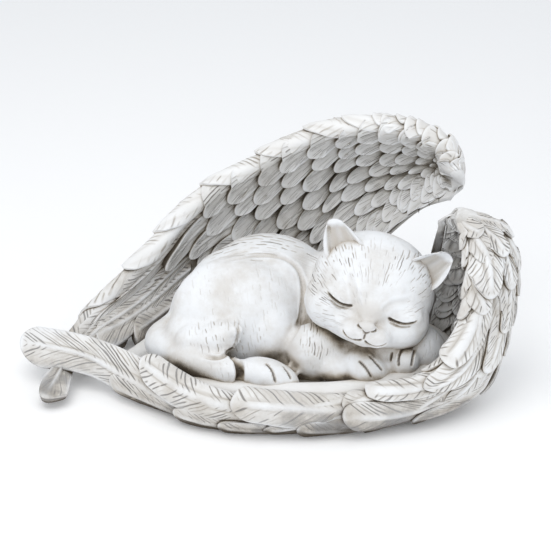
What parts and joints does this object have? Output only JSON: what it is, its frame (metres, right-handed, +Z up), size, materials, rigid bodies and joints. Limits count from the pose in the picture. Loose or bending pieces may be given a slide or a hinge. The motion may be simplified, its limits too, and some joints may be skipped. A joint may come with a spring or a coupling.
{
  "type": "pet memorial statue",
  "caption": "Memorial statue of a kitten curled up asleep in a nest of two feathered angel wings, cast in one piece with a flat underside.",
  "frame": {"origin": "middle of the bounding box, on the surface the statue stands on", "axes": "+X along the length towards the wings' shoulders, on the right of an onlooker who faces the kitten; +Y away from that onlooker; +Z up"},
  "size_m": [0.195, 0.1172, 0.0962],
  "materials": {
    "cast_stone": "matt off-white cast stone with a thin warm grey-brown wash in the recesses"
  },
  "bodies": {
    "root": {"statue": "cast_stone"}
  },
  "joints": []
}
